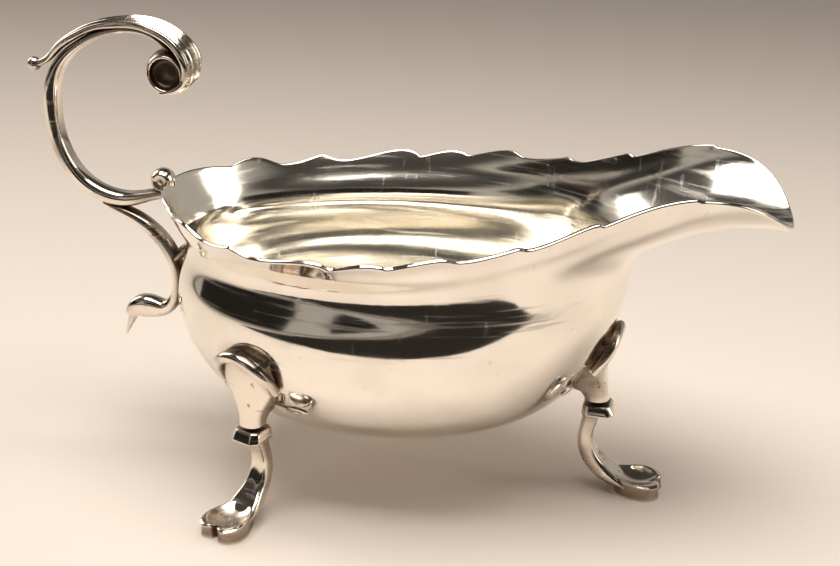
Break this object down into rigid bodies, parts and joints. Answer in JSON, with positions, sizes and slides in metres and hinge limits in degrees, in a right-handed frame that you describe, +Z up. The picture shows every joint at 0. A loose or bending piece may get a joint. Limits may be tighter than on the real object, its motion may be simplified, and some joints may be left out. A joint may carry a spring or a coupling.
{
  "type": "footed sauce boat",
  "caption": "Oval silver sauce boat with a scalloped flared rim, long pouring lip, double scroll handle with a leaf, and shell-like knees over hoof feet.",
  "frame": {"origin": "on the table, halfway between the bead at the back of the handle and the tip of the spout, on the middle plane", "axes": "+X towards the spout, +Y to the left seen from behind the handle, +Z up"},
  "size_m": [0.1869, 0.0952, 0.1137],
  "materials": {
    "bowl_silver": "polished sterling silver sheet, softened by fine wear scratches",
    "cast_silver": "cast sterling silver, polished on the high places and tarnished in the hollows"
  },
  "bodies": {
    "root": {"bowl": "bowl_silver", "handle_upper_scroll": "cast_silver", "handle_leaf": "cast_silver", "handle_bead": "cast_silver", "handle_volute": "cast_silver", "handle_rim_curl": "cast_silver", "handle_lower_scroll": "cast_silver", "handle_spur": "cast_silver", "handle_sprig": "cast_silver", "front_leg_knee": "cast_silver", "front_leg_petals": "cast_silver", "front_leg_collar": "cast_silver", "front_leg_shank": "cast_silver", "front_leg_hoof": "cast_silver", "rear_left_leg_knee": "cast_silver", "rear_left_leg_petals": "cast_silver", "rear_left_leg_collar": "cast_silver", "rear_left_leg_shank": "cast_silver", "rear_left_leg_hoof": "cast_silver", "rear_right_leg_knee": "cast_silver", "rear_right_leg_petals": "cast_silver", "rear_right_leg_collar": "cast_silver", "rear_right_leg_shank": "cast_silver", "rear_right_leg_hoof": "cast_silver"}
  },
  "joints": []
}
